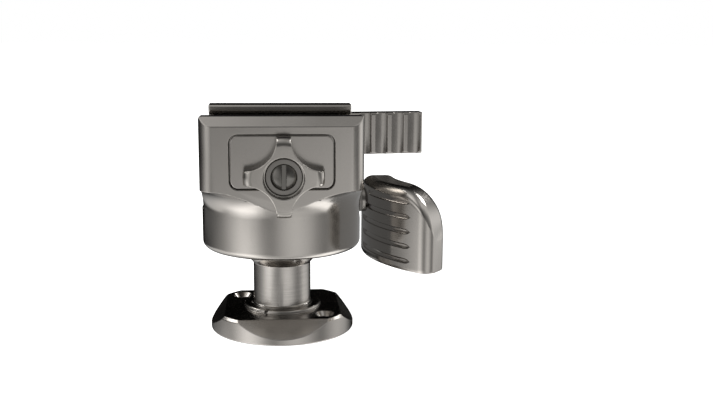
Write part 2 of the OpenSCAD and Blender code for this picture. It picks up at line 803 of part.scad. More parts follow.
// Height of the paddle's top over the point (x, y), before its edges are rounded: one arc seen
// from the front, and one down to the slanting end of the paddle
function paddle_top(x, y) =
    let (t = [x - paddle_x, y] * paddle_run,
         over_front = max(0, x - paddle_x - paddle_reach + paddle_front_r),
         over_end = max(0, t - (paddle_end - paddle_end_r)))
    paddle_z1 - max(
        paddle_front_r - sqrt(max(0, pow(paddle_front_r, 2) - pow(over_front, 2))),
        paddle_end_r - sqrt(max(0, pow(paddle_end_r, 2) - pow(over_end, 2))),
        y > 0 ? paddle_boss_r - sqrt(max(0, pow(paddle_boss_r, 2) - y * y)) : 0
    );

// How far an outline rounded with radius r is drawn in, at a distance d from its end
function end_round(d, r) = d >= r ? 0 : r - sqrt(max(0, r * r - (r - d) * (r - d)));

// A point of the paddle at the angle a and the distance r from its upright axis
function paddle_xy(a, r) = paddle_center + r * [cos(a), sin(a)];

// One cross-section of the paddle, from its outer foot over the grooved inner face to the top
function paddle_section(a, from_end, groove_window) =
    let (d = end_round(from_end, paddle_round),
         r0 = paddle_outer_r + d,
         r1 = paddle_inner_r - d,
         inner = paddle_xy(a, r1),
         outer = paddle_xy(a, r0),
         inner_top = paddle_top(inner[0], inner[1]) - paddle_round,
         outer_top = max(paddle_z0 + 1, paddle_top(outer[0], outer[1]) - paddle_round))
    concat(
        [[outer[0], outer[1], paddle_z0], [inner[0], inner[1], paddle_z0]],
        [for (i = [0 : grooves - 1], q = groove_profile)
            let (p = paddle_xy(a, r1 - groove_depth * q[0] * groove_window * (i == grooves - 1 ? top_fade(a) : 1)))
            [p[0], p[1], min(groove_z0 + i * groove_pitch + groove_half * q[1],
                inner_top - 0.04 * (4 * (grooves - i) - q[1]))]],
        [for (k = [0 : top_steps])
            let (u = k / top_steps,
                 r = r1 - (r1 - r0) * (1 - cos(180 * u)) / 2,
                 p = paddle_xy(a, r),
                 near = min(r1 - r, r - r0, from_end))
            [p[0], p[1], max(outer_top, paddle_top(p[0], p[1]) - end_round(max(0, near), paddle_round))]]
    );

// How far the highest groove has faded in: it starts further from the spindle than the others
function top_fade(a) = min(1, max(0, (a - 180 - 15) / 3));

// The paddle as one smooth skin, swept round an upright axis beside it
module paddle_body() {
    per_mm = 180 / (PI * paddle_mid_r);
    s_rear = paddle_rear_angle / per_mm;
    s_tip = paddle_sweep_angle / per_mm;
    ends = [0, 0.06, 0.2, 0.42, 0.7, 1] * paddle_round;
    middle = 20;
    stations = concat(
        [for (d = ends) s_rear + d],
        [for (i = [1 : middle - 1])
            s_rear + paddle_round + (s_tip - s_rear - 2 * paddle_round) * i / middle],
        [for (i = [len(ends) - 1 : -1 : 0]) s_tip - ends[i]]
    );
    points = [for (s = stations)
        each paddle_section(180 + s * per_mm, min(s - s_rear, s_tip - s),
            min(1, max(0, (s * per_mm - groove_start_angle) / 3))
            * min(1, max(0, (groove_end_angle - s * per_mm) / 2)))];
    m = len(points) / len(stations);
    skin = [for (i = [0 : len(stations) - 2], k = [0 : m - 1])
        let (a = i * m + k, b = i * m + (k + 1) % m)
        each [[a, a + m, b], [b, a + m, b + m]]];
    last = (len(stations) - 1) * m;
    first_end = [for (k = [1 : m - 2]) [0, k, k + 1]];
    last_end = [for (k = [1 : m - 2]) [last, last + k + 1, last + k]];
    polyhedron(points, concat(skin, first_end, last_end));
}

module lock_lever() {
    head_clear = 0.2;
    color("#8f8c87") difference() {
        paddle_body();
        rod_x_along(0, spindle_z, 0, far + over, spindle_r + press_gap);
        rod_x_along(0, spindle_z, lever_seat_x, far, lever_screw_head_r + head_clear);
    }
}

module lock_spindle() {
    end_gap = 0.1;
    color("#6d6b68") difference() {
        union() {
            rod_x_along(0, spindle_z, shoe_back + running_gap, lever_seat_x - end_gap, spindle_r);
            rod_x_along(0, spindle_z, box_half_w + collar_gap, paddle_x - end_gap, collar_r);
        }
        rod_x_along(0, spindle_z, lever_seat_x - lever_screw_l - end_gap, far, lever_screw_r + press_gap);
    }
}

module lever_screw() {
    key = 4;
    key_depth = 1.8;
    head_h = 2.6;
    color("#4c4b49") difference() {
        union() {
            rod_x_along(0, spindle_z, lever_seat_x - lever_screw_l, lever_seat_x + eps, lever_screw_r);
            rod_x_along(0, spindle_z, lever_seat_x, lever_seat_x + head_h, lever_screw_head_r);
        }
        translate([lever_seat_x + head_h - key_depth, 0, spindle_z]) rotate([0, 90, 0])
            cylinder(h = key_depth + over, r = key / sqrt(3), $fn = 6);
    }
}

base_flange();
ball_stem();
thread_bush();
stem_lock_screw();
lower_seat_ring();
upper_seat_ring();
housing();
keeper_ring();
spindle_bush();
thrust_plate();
guide_pins();
jaw_springs();
tie_rod();
end_screw();
cam_pin();
star_nut();
nut_insert();
rear_jaw();
cam_plate();
cam_plate_screws();
quick_release_lever();
brake_shoe();
lock_lever();
lock_spindle();
lever_screw();
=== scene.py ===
import math

import bmesh
import bpy
from mathutils import Matrix, Vector
from mathutils.bvhtree import BVHTree
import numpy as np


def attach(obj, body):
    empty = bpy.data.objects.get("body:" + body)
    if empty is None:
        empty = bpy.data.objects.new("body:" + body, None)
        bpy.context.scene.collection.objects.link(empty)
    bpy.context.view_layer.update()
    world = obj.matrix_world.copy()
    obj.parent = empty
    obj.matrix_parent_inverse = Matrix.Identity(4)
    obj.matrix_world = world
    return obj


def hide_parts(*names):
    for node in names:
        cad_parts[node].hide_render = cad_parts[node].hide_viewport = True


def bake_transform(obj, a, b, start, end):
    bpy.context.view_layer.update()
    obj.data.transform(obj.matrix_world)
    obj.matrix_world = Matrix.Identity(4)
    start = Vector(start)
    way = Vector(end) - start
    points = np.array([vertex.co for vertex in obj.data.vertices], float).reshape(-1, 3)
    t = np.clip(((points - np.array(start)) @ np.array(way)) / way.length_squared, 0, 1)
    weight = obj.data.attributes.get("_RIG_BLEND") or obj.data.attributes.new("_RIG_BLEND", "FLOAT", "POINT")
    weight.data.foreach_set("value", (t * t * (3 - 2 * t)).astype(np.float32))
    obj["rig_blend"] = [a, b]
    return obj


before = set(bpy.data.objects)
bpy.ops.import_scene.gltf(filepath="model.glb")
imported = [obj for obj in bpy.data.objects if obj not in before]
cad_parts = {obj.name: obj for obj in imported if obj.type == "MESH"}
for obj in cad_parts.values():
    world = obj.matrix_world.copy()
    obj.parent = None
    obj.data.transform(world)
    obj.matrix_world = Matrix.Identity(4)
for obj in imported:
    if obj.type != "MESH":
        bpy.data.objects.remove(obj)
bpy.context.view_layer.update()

# Base flange: a round foot milled from aluminium alloy bar and bead-blasted. Four flat facets are
# milled into its rim, and two screws go down through it into a plate. Its edges are broken by hand.
MM = 0.001
ALLOY = "#a19d98"
ALLOY_DARK = "#96928d"
BROKEN_EDGE = 0.22 * MM
FLAT_ANGLE = math.radians(0.4)
SHARP_ANGLE = math.radians(24)
TURNED_SHARP_ANGLE = math.radians(30)
SETTLE_SHARE = 0.8


def linear(code):
    """An sRGB hex value as the linear colour that a shader takes."""
    parts = [int(code[i:i + 2], 16) / 255 for i in (1, 3, 5)]
    return [p / 12.92 if p <= 0.04045 else ((p + 0.055) / 1.055) ** 2.4 for p in parts] + [1.0]


def add(tree, kind, inputs=None, **settings):
    """One node with its settings; an input is a plain value or another node's output."""
    made = tree.nodes.new(kind)
    for name, value in settings.items():
        setattr(made, name, value)
    for name, value in (inputs or {}).items():
        if isinstance(value, bpy.types.NodeSocket):
            tree.links.new(value, made.inputs[name])
        else:
            made.inputs[name].default_value = value
    return made


def bare_metal(name, centre):
    """A metal with no surface yet, and the place on the piece about its centre, given in mm."""
    made = bpy.data.materials.new(name)
    made.use_nodes = True
    made.node_tree.nodes["Principled BSDF"].inputs["Metallic"].default_value = 1.0
    place = add(made.node_tree, "ShaderNodeTexCoord")
    put = add(made.node_tree, "ShaderNodeMapping", {
        "Vector": place.outputs["Object"], "Location": [-c * MM for c in centre]})
    return made, put.outputs[0]


def surfaced(made, colour, roughness, relief):
    """The metal with its colour, its roughness and its relief."""
    shader = made.node_tree.nodes["Principled BSDF"]
    made.node_tree.links.new(colour.outputs[0], shader.inputs["Base Color"])
    made.node_tree.links.new(roughness.outputs[0], shader.inputs["Roughness"])
    made.node_tree.links.new(relief.outputs[0], shader.inputs["Normal"])
    return made


def blasted_alloy(name, centre, light=ALLOY, dark=ALLOY_DARK, gloss=0.21):
    """Bead-blasted aluminium alloy: even and satin, so broad soft reflections with no grain lines.

    The blast leaves dimples of about 0.1 mm, too fine for the render, so they are drawn 0.3 mm
    wide and very shallow. Handling leaves patches of 15 mm that are slightly smoother.
    """
    made, place = bare_metal(name, centre)
    tree = made.node_tree
    patches = add(tree, "ShaderNodeTexNoise", {
        "Vector": place, "Scale": 1 / (15 * MM), "Detail": 3.0, "Roughness": 0.55})
    dimples = add(tree, "ShaderNodeTexNoise", {
        "Vector": place, "Scale": 1 / (0.3 * MM), "Detail": 2.0, "Roughness": 0.6})
    tint = add(tree, "ShaderNodeMix", {
        0: patches.outputs["Fac"], 6: linear(dark), 7: linear(light)}, data_type="RGBA")
    speck = add(tree, "ShaderNodeMapRange", {
        "Value": dimples.outputs["Fac"], "From Min": 0.3, "From Max": 0.7,
        "To Min": 0.97, "To Max": 1.03})
    tinted = add(tree, "ShaderNodeVectorMath", {
        0: tint.outputs[2], 1: speck.outputs[0]}, operation="MULTIPLY")
    satin = add(tree, "ShaderNodeMapRange", {
        "Value": patches.outputs["Fac"], "From Min": 0.3, "From Max": 0.7,
        "To Min": gloss - 0.025, "To Max": gloss + 0.025})
    bump = add(tree, "ShaderNodeBump", {
        "Height": dimples.outputs["Fac"], "Strength": 0.05, "Distance": 0.02 * MM})
    return surfaced(made, tinted, satin, bump)


def placed(name, data):
    """An object with this mesh, camera or lamp, linked into the scene."""
    made = bpy.data.objects.new(name, data)
    bpy.context.scene.collection.objects.link(made)
    return made


def finished_mesh(piece):
    """A piece's mesh as its modifiers leave it."""
    bpy.context.view_layer.update()
    seen = piece.evaluated_get(bpy.context.evaluated_depsgraph_get())
    return bpy.data.meshes.new_from_object(seen)


def broken_edge(piece, width, sharp=TURNED_SHARP_ANGLE, corner="MITER_SHARP"):
    """Breaks a piece's sharp edges with a narrow rounding, as a deburring pass does."""
    broken = piece.modifiers.new("broken edge", "BEVEL")
    broken.limit_method = "ANGLE"
    broken.angle_limit = sharp
    broken.width = width
    broken.segments = 2
    broken.use_clamp_overlap = False
    broken.miter_outer = corner
    broken.harden_normals = True
    return piece


def machined_copy(node, name, weld=0.004, edge=BROKEN_EDGE):
    """A copy of a CAD node with its triangles merged into faces and its sharp edges broken."""
    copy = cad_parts[node].data.copy()
    copy.name = name
    for spare in [a.name for a in copy.attributes if a.name == "custom_normal"]:
        copy.attributes.remove(copy.attributes[spare])
    made = bmesh.new()
    made.from_mesh(copy)
    bmesh.ops.remove_doubles(made, verts=made.verts, dist=weld * MM)
    bmesh.ops.dissolve_limit(made, angle_limit=FLAT_ANGLE, verts=made.verts, edges=made.edges)
    bmesh.ops.recalc_face_normals(made, faces=made.faces)
    made.to_mesh(copy)
    made.free()
    copy.shade_smooth()
    copy.set_sharp_from_angle(angle=SHARP_ANGLE)
    copy.materials.clear()
    return broken_edge(placed(name, copy), edge, SHARP_ANGLE, "MITER_ARC")


def settled(piece, reach):
    """Breaks a piece's edges for good; points thrown further than reach go back onto its skin.

    Where very short edges meet at a corner, the offset lines cross far outside the piece.
    """
    skin = bmesh.new()
    skin.from_mesh(piece.data)
    tree = BVHTree.FromBMesh(skin)
    skin.free()
    mesh = finished_mesh(piece)
    for v in mesh.vertices:
        near, _, _, gap = tree.find_nearest(v.co)
        if gap > reach:
            v.co = near
    piece.modifiers.clear()
    piece.data = mesh


def fit(piece, body, slot, material, *nodes):
    """Gives a piece its finish and puts it in place of the CAD nodes, on a body if it rides on one."""
    broken = piece.modifiers.get("broken edge")
    if broken:
        settled(piece, SETTLE_SHARE * broken.width)
    piece.data.materials.clear()
    piece.data.materials.append(material)
    if body:
        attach(piece, body)
    if nodes:
        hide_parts(*nodes)


def raised(piece, stops):
    """Moves a copy's points up by an amount that runs from stop to stop over its height, in mm."""
    for v in piece.data.vertices:
        z = v.co.z / MM
        for (z0, up0), (z1, up1) in zip(stops, stops[1:]):
            if z0 <= z <= z1:
                v.co.z += (up0 + (up1 - up0) * (z - z0) / (z1 - z0)) * MM
                break
    return piece


# the real flange is 0.8 mm thicker than the solid, over the same foot
FLANGE_STOPS = [(2.35, 0), (7.3, 0.8), (8.5, 0.95), (13, 0)]
flange_alloy = blasted_alloy("blasted_alloy_flange", centre=(0, 0, 4))
flange = raised(machined_copy("base_flange", "flange"), FLANGE_STOPS)
fit(flange, "base", "satin_alloy", flange_alloy, "base_flange")

# Stem and ball: one turned piece of the same alloy, pressed through the flange. The lathe leaves
# fine rings round the stem, and the ball over it is polished for its seats.
STEM_TURN = "#a39f9a"
RING_STRETCH = 0.03


def turned_metal(name, colour, pitch, depth, gloss, centre=(0, 0, 0), axis="Z"):
    """Metal off the lathe: rings one feed apart round the axis, which draw the light across them.

    A finishing feed is about 0.1 mm; pitch gives it in mm as drawn, coarse enough to show.
    """
    made, place = bare_metal(name, centre)
    tree = made.node_tree
    squeeze = [1 if way == axis else RING_STRETCH for way in "XYZ"]
    along = add(tree, "ShaderNodeVectorMath", {0: place, 1: squeeze}, operation="MULTIPLY")
    rings = add(tree, "ShaderNodeTexNoise", {
        "Vector": along.outputs[0], "Scale": 1 / (pitch * MM), "Detail": 2.0, "Roughness": 0.7})
    patches = add(tree, "ShaderNodeTexNoise", {
        "Vector": place, "Scale": 1 / (8 * MM), "Detail": 2.0})
    shade = add(tree, "ShaderNodeMapRange", {
        "Value": rings.outputs["Fac"], "From Min": 0.3, "From Max": 0.7,
        "To Min": 0.93, "To Max": 1.05})
    base = add(tree, "ShaderNodeRGB")
    base.outputs[0].default_value = linear(colour)
    tinted = add(tree, "ShaderNodeVectorMath", {
        0: base.outputs[0], 1: shade.outputs[0]}, operation="MULTIPLY")
    satin = add(tree, "ShaderNodeMapRange", {
        "Value": patches.outputs["Fac"], "From Min": 0.3, "From Max": 0.7,
        "To Min": gloss - 0.03, "To Max": gloss + 0.03})
    bump = add(tree, "ShaderNodeBump", {
        "Height": rings.outputs["Fac"], "Strength": depth, "Distance": 0.02 * MM})
    return surfaced(made, tinted, satin, bump)


stem_alloy = turned_metal("turned_alloy_stem", STEM_TURN, pitch=0.4, depth=0.1, gloss=0.2)
stem = raised(machined_copy("ball_stem", "stem_and_ball", edge=0.12 * MM), FLANGE_STOPS)
fit(stem, "base", "satin_alloy", stem_alloy, "ball_stem")

# Thread bush: a steel sleeve pressed into the stem's foot. Its 3/8 inch thread takes the tripod's
# stud; the thread is a ridge of 1.5875 mm pitch wound up the bore by Geometry Nodes.
BUSH_STEEL = "#85817c"
BUSH_OUTER_R = 6.2
BUSH_H = 12.0
BUSH_CHAMFER = 0.2
THREAD_CREST_R = 3.97
THREAD_ROOT_R = 4.72
THREAD_PITCH = 1.5875
THREAD_LEAD_IN = 0.5
THREAD_START = 1.1
THREAD_CREST_HALF = 0.12
THREAD_FOOT_HALF = THREAD_PITCH / 2 * 0.86
THREAD_SUNK = 0.05
ROUND_SIDES = 96
SAME_POINT = 0.0005


def named_mesh(name, made):
    """A bmesh as a mesh of this name; the bmesh is freed."""
    mesh = bpy.data.meshes.new(name)
    made.to_mesh(mesh)
    made.free()
    return mesh


def turned_solid(name, outline, sharp=SHARP_ANGLE):
    """The mesh of a closed solid turned about Z from its outline, as (radius, height) in mm."""
    made = bmesh.new()
    rings = []
    for i in range(ROUND_SIDES):
        a = 2 * math.pi * i / ROUND_SIDES
        rings.append([made.verts.new((r * MM * math.cos(a), r * MM * math.sin(a), z * MM))
                      for r, z in outline])
    n = len(outline)
    for near, far in zip(rings, rings[1:] + rings[:1]):
        for k in range(n):
            made.faces.new((near[k], far[k], far[(k + 1) % n], near[(k + 1) % n]))
    bmesh.ops.remove_doubles(made, verts=made.verts, dist=SAME_POINT * MM)
    bmesh.ops.recalc_face_normals(made, faces=made.faces)
    mesh = named_mesh(name, made)
    mesh.shade_smooth()
    mesh.set_sharp_from_angle(angle=sharp)
    return mesh


def wound_ridge(name, radius, pitch, length, profile, z0, material):
    """The mesh of a ridge of this cross-section (mm, outward and upward) wound up round Z."""
    tree = bpy.data.node_groups.new(name, "GeometryNodeTree")
    for socket in ("Radius", "Pitch", "Length"):
        tree.interface.new_socket(socket, in_out="INPUT", socket_type="NodeSocketFloat")
    tree.interface.new_socket("Ridge", in_out="OUTPUT", socket_type="NodeSocketGeometry")
    sizes = add(tree, "NodeGroupInput")
    turns = add(tree, "ShaderNodeMath", {
        0: sizes.outputs["Length"], 1: sizes.outputs["Pitch"]}, operation="DIVIDE")
    helix = add(tree, "GeometryNodeCurveSpiral", {
        "Resolution": 72, "Rotations": turns.outputs[0], "Start Radius": sizes.outputs["Radius"],
        "End Radius": sizes.outputs["Radius"], "Height": sizes.outputs["Length"]})
    upright = add(tree, "GeometryNodeSetCurveNormal", {"Curve": helix.outputs[0]})
    upright.mode = "Z_UP"
    outline = bpy.data.meshes.new(name + "_outline")
    n = len(profile)
    outline.from_pydata(
        [(u * MM, w * MM, 0) for u, w in profile], [(i, (i + 1) % n) for i in range(n)], [])
    section_piece = bpy.data.objects.new(name + "_outline", outline)
    section = add(tree, "GeometryNodeObjectInfo", {"Object": section_piece})
    section_curve = add(tree, "GeometryNodeMeshToCurve", {"Mesh": section.outputs["Geometry"]})
    swept = add(tree, "GeometryNodeCurveToMesh", {
        "Curve": upright.outputs[0], "Profile Curve": section_curve.outputs[0], "Fill Caps": True})
    real = add(tree, "GeometryNodeRealizeInstances", {"Geometry": swept.outputs[0]})
    faced = add(tree, "GeometryNodeSetMaterial", {"Geometry": real.outputs[0], "Material": material})
    out = add(tree, "NodeGroupOutput")
    tree.links.new(faced.outputs[0], out.inputs[0])
    carrier = placed(name, bpy.data.meshes.new(name))
    winding = carrier.modifiers.new("winding", "NODES")
    winding.node_group = tree
    sockets = {s.name: s.identifier for s in tree.interface.items_tree if s.in_out == "INPUT"}
    winding[sockets["Radius"]] = radius * MM
    winding[sockets["Pitch"]] = pitch * MM
    winding[sockets["Length"]] = length * MM
    mesh = finished_mesh(carrier)
    mesh.transform(Matrix.Translation((0, 0, z0 * MM)))
    bpy.data.objects.remove(carrier)
    bpy.data.objects.remove(section_piece)
    made = bmesh.new()
    made.from_mesh(mesh)
    bmesh.ops.recalc_face_normals(made, faces=made.faces)
    made.to_mesh(mesh)
    made.free()
    return mesh


bush_steel = turned_metal("turned_steel_bush", BUSH_STEEL, pitch=0.35, depth=0.1, gloss=0.3)
bush = placed("thread_sleeve", turned_solid("thread_sleeve", [
    (THREAD_ROOT_R + THREAD_LEAD_IN, 0), (BUSH_OUTER_R - BUSH_CHAMFER, 0),
    (BUSH_OUTER_R, BUSH_CHAMFER), (BUSH_OUTER_R, BUSH_H - BUSH_CHAMFER),
    (BUSH_OUTER_R - BUSH_CHAMFER, BUSH_H), (THREAD_ROOT_R, BUSH_H), (THREAD_ROOT_R, THREAD_LEAD_IN)]))
fit(bush, "base", "turned_steel", bush_steel, "thread_bush")
crest = THREAD_CREST_R - THREAD_ROOT_R
ridge = [(THREAD_SUNK, -THREAD_FOOT_HALF), (THREAD_SUNK, THREAD_FOOT_HALF),
         (crest, THREAD_CREST_HALF), (crest, -THREAD_CREST_HALF)]
thread = placed("tripod_thread", wound_ridge(
    "tripod_thread", THREAD_ROOT_R, THREAD_PITCH, BUSH_H - 2 * THREAD_START, ridge, THREAD_START,
    bush_steel))
fit(thread, "base", "turned_steel", bush_steel, "thread_bush")

# Stem screw: a blackened steel set screw with a hexagon socket, driven into the flange's rim
# until it bites on the stem's spigot.
SCREW_BLACK = "#4d4b48"
screw_steel = turned_metal("blackened_screw_steel", SCREW_BLACK, pitch=0.3, depth=0.15, gloss=0.36)
stem_screw = machined_copy("stem_lock_screw", "stem_screw", edge=0.06 * MM)
fit(stem_screw, "base", "dark_screw_steel", screw_steel, "stem_lock_screw")

# Ball seats: two bands of bearing brass lapped to the ball, dull gold with fine turning rings.
# They lie inside the housing and show only when it is taken apart.
SEAT_BRASS = "#b39a63"
seat_brass = turned_metal(
    "lapped_seat_brass", SEAT_BRASS, pitch=0.5, depth=0.1, gloss=0.3, centre=(0, 0, 35.5))
for node in ("lower_seat_ring", "upper_seat_ring", "brake_shoe"):
    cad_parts[node].data.materials.clear()
    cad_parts[node].data.materials.append(seat_brass)

# Housing: one solid of aluminium alloy, turned below for the ball and milled square above for the
# clamp. It is bead-blasted, with its edges lightly broken, which catches the light along them.
housing_alloy = blasted_alloy("blasted_alloy_housing", centre=(0, 0, 57))
FLARE_LOW = 0.8
FLARE_Z = (47.3, 57.7)
DRUM_SKIN_R = 29.4
POCKET_HALF = 18.6
POCKET_Y = -20
POCKET_FOOT = 57.3
LOCK_X = 20
LOCK_CLEAR = (8, 14)
housing = machined_copy("housing", "clamp_housing", edge=0.25 * MM)
# the flare's edge lies a little lower than in the solid, except at the thrust plate's pocket and
# beside the lock's bush, where the lowering grows from nothing between the two clear distances
for v in housing.data.vertices:
    x, y, z = v.co / MM
    in_pocket = abs(x) < POCKET_HALF and y < POCKET_Y and z > POCKET_FOOT
    if FLARE_Z[0] < z < FLARE_Z[1] and math.hypot(x, y) > DRUM_SKIN_R and not in_pocket:
        clear = (abs(y) - LOCK_CLEAR[0]) / (LOCK_CLEAR[1] - LOCK_CLEAR[0])
        share = 1.0 if x < LOCK_X else min(1.0, max(0.0, clear))
        v.co.z -= FLARE_LOW * share * MM
fit(housing, "housing", "satin_alloy", housing_alloy, "housing")

# Keeper ring: a steel ring screwed into the housing under the ball, with four holes for a pin
# spanner. Its face is turned, so it shows fine circles round the stem.
RING_STEEL = "#8d8984"
ring_steel = turned_metal("turned_steel_ring", RING_STEEL, pitch=0.45, depth=0.12, gloss=0.3)
keeper = machined_copy("keeper_ring", "ball_keeper", edge=0.15 * MM)
fit(keeper, "housing", "turned_steel", ring_steel, "keeper_ring")

# Spindle bush and guide pins: turned and ground steel. The bush guides the lock spindle in the
# housing's side, and the two pins carry the rear jaw.
INNER_STEEL = "#918d88"
inner_steel = turned_metal("ground_steel", INNER_STEEL, pitch=0.4, depth=0.08, gloss=0.22, axis="Y")
spindle_bush = machined_copy("spindle_bush", "lock_bush", edge=0.12 * MM)
fit(spindle_bush, "housing", "turned_steel", inner_steel, "spindle_bush")
pins = machined_copy("guide_pins", "jaw_pins", edge=0.15 * MM)
fit(pins, "housing", "turned_steel", inner_steel, "guide_pins")

# Jaw springs: two open coils of hard steel wire round the pins, which push the rear jaw open.
# Each coil is one length of wire wound by Geometry Nodes. The coils stretch as the jaw
# moves away from the rod's side of the spring.
SPRING_R = 3.0
WIRE_R = 0.4
SPRING_Y = (14.5, 24.6)
SPRING_X = 16.0
SPRING_Z = 67.5
SPRING_TURNS = 6
WIRE_SIDES = 12
WIRE_STEEL = "#a8a49e"
spring_wire = turned_metal("drawn_spring_wire", WIRE_STEEL, pitch=0.5, depth=0.06, gloss=0.25)
spring_l = SPRING_Y[1] - SPRING_Y[0]
around_wire = [2 * math.pi * k / WIRE_SIDES for k in range(WIRE_SIDES)]
wire = [(WIRE_R * math.cos(a), WIRE_R * math.sin(a)) for a in around_wire]
coil = wound_ridge(
    "coil", SPRING_R, spring_l / SPRING_TURNS, spring_l, wire, 0, spring_wire)
coil.shade_smooth()
both = bmesh.new()
for side in (-1, 1):
    foot = Matrix.Translation((side * SPRING_X * MM, SPRING_Y[0] * MM, SPRING_Z * MM))
    one = coil.copy()
    one.transform(foot @ Matrix.Rotation(-math.pi / 2, 4, "X"))
    both.from_mesh(one)
bmesh.ops.recalc_face_normals(both, faces=both.faces)
both.to_mesh(coil)
both.free()
springs = placed("jaw_coils", coil)
fit(springs, None, "turned_steel", spring_wire, "jaw_springs")
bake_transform(springs, "tie_rod", "rear_jaw", start=(0, (SPRING_Y[0] - WIRE_R) * MM, SPRING_Z * MM),
         end=(0, (SPRING_Y[1] + WIRE_R) * MM, SPRING_Z * MM))

# Thrust plate: a plate with round corners let into the front face, on which the star nut bears.
# It has the housing's blasted finish, and a dark seam stays round it.
plate_alloy = blasted_alloy("blasted_alloy_plate", centre=(0, -28, 67), gloss=0.2)
plate = machined_copy("thrust_plate", "bearing_plate", edge=0.3 * MM)
fit(plate, "housing", "satin_alloy", plate_alloy, "thrust_plate")

# Tie rod and cam pin: ground steel. The rod runs from the nut through both jaws to an eye, and
# the pin goes down through the lever's fork and that eye.
ROD_STEEL = "#8f8b86"
rod_steel = turned_metal("ground_rod_steel", ROD_STEEL, pitch=0.4, depth=0.08, gloss=0.25, axis="Y")
rod = machined_copy("tie_rod", "draw_rod", edge=0.12 * MM)
fit(rod, "tie_rod", "turned_steel", rod_steel, "tie_rod")
pin = machined_copy("cam_pin", "lever_pin", edge=0.12 * MM)
fit(pin, "tie_rod", "turned_steel", ring_steel, "cam_pin")

# End screw: a slotted screw with a low dome, in darker oiled steel. It closes the rod's end so
# that the star nut can't be turned off, and sits well inside the nut's dished thread ring.
DOME_STEEL = "#6b6965"
ROD_X, ROD_Z = 0.5, 62.6
DOME_R = 4.42
DOME_H = 1.0
DOME_BACK = 34.0
DOME_SHANK = 1.4
DOME_STEPS = 16
SLOT_W = 1.5
SLOT_DEPTH = 0.9
SAW_DEEP = 4
ROD_TIP = 34.8
ROD_UNDER_DOME = 1.5
dome_steel = turned_metal(
    "oiled_dome_steel", DOME_STEEL, pitch=0.5, depth=0.1, gloss=0.24, axis="Y")
dome_sphere = (DOME_R ** 2 + DOME_H ** 2) / (2 * DOME_H)
dome_edge = math.asin(DOME_R / dome_sphere)
dome_outline = [(0.0, DOME_BACK - DOME_SHANK), (DOME_R, DOME_BACK - DOME_SHANK), (DOME_R, DOME_BACK)]
for k in range(1, DOME_STEPS + 1):
    a = dome_edge * (1 - k / DOME_STEPS)
    dome_outline.append(
        (dome_sphere * math.sin(a), DOME_BACK + DOME_H - dome_sphere * (1 - math.cos(a))))
about_rod = Matrix.Translation((ROD_X * MM, 0, ROD_Z * MM)) @ Matrix.Rotation(math.pi / 2, 4, "X")


def turned_about_rod(name, outline):
    """A solid turned about the tie rod's axis, as (radius, way out to the front) in mm."""
    mesh = turned_solid(name, outline, TURNED_SHARP_ANGLE)
    mesh.transform(about_rod)
    return placed(name, mesh)


dome = turned_about_rod("rod_end_dome", dome_outline)
saw_y = -(DOME_BACK + DOME_H - SLOT_DEPTH + SAW_DEEP / 2)
saw_cut = bmesh.new()
bmesh.ops.create_cube(saw_cut, size=1.0, matrix=(
    Matrix.Translation((ROD_X * MM, saw_y * MM, ROD_Z * MM))
    @ Matrix.Diagonal((SLOT_W * MM, SAW_DEEP * MM, 3 * DOME_R * MM, 1))))
saw = placed("saw", named_mesh("saw", saw_cut))


def cut_away(piece, *cutters):
    """Cuts the cutters out of a piece and leaves it a plain mesh; the cutters are removed."""
    for cutter in cutters:
        cut = piece.modifiers.new("cut", "BOOLEAN")
        cut.operation = "DIFFERENCE"
        cut.solver = "EXACT"
        cut.object = cutter
    mesh = finished_mesh(piece)
    piece.modifiers.clear()
    piece.data = mesh
    for cutter in cutters:
        bpy.data.objects.remove(cutter)


cut_away(dome, saw)
broken_edge(dome, 0.1 * MM)
fit(dome, "tie_rod", "dark_screw_steel", dome_steel, "end_screw")
# the rod's tip ends under the dome, which lies further in than in the solid
for v in rod.data.vertices:
    if v.co.y < -ROD_TIP * MM:
        v.co.y = -(DOME_BACK - ROD_UNDER_DOME) * MM

# Star nut: four arms milled from alloy plate and blasted, with a steel thread ring pressed into
# its recess. Its broken edges are wide enough to show as a bright line round the arms.
NUT_ALLOY = "#a4a09b"
NUT_ALLOY_DARK = "#99958f"
nut_alloy = blasted_alloy(
    "blasted_alloy_nut", centre=(0.5, -34, 62.6), light=NUT_ALLOY, dark=NUT_ALLOY_DARK, gloss=0.2)
nut = machined_copy("star_nut", "adjusting_star", edge=0.33 * MM, weld=0.03)
fit(nut, "star_nut", "satin_alloy", nut_alloy, "star_nut")
RING_FACE = 34.5
RING_SEAT = 32.9
RING_FLOOR = 31.7
RING_BACK = 31.2
RING_R = 6.3
RING_SEAT_R = 6.9
RING_BEVEL = 0.15
RING_WALL_R = 4.52
RING_BORE_R = 3.2
RING_LIP = 0.06
DISH_STEEL = "#7d7a76"
dish_steel = turned_metal(
    "turned_steel_dish", DISH_STEEL, pitch=0.5, depth=0.1, gloss=0.3, axis="Y")
insert = turned_about_rod("nut_thread_ring", [
    (RING_R - RING_BEVEL, RING_FACE), (RING_R, RING_FACE - RING_BEVEL),
    (RING_R, RING_SEAT), (RING_SEAT_R, RING_SEAT), (RING_SEAT_R, RING_BACK),
    (RING_BORE_R, RING_BACK), (RING_BORE_R, RING_FLOOR), (RING_WALL_R, RING_FLOOR),
    (RING_WALL_R, RING_FACE - RING_LIP), (RING_WALL_R + RING_LIP, RING_FACE)])
broken_edge(insert, 0.12 * MM)
fit(insert, "star_nut", "turned_steel", dish_steel, "nut_insert")

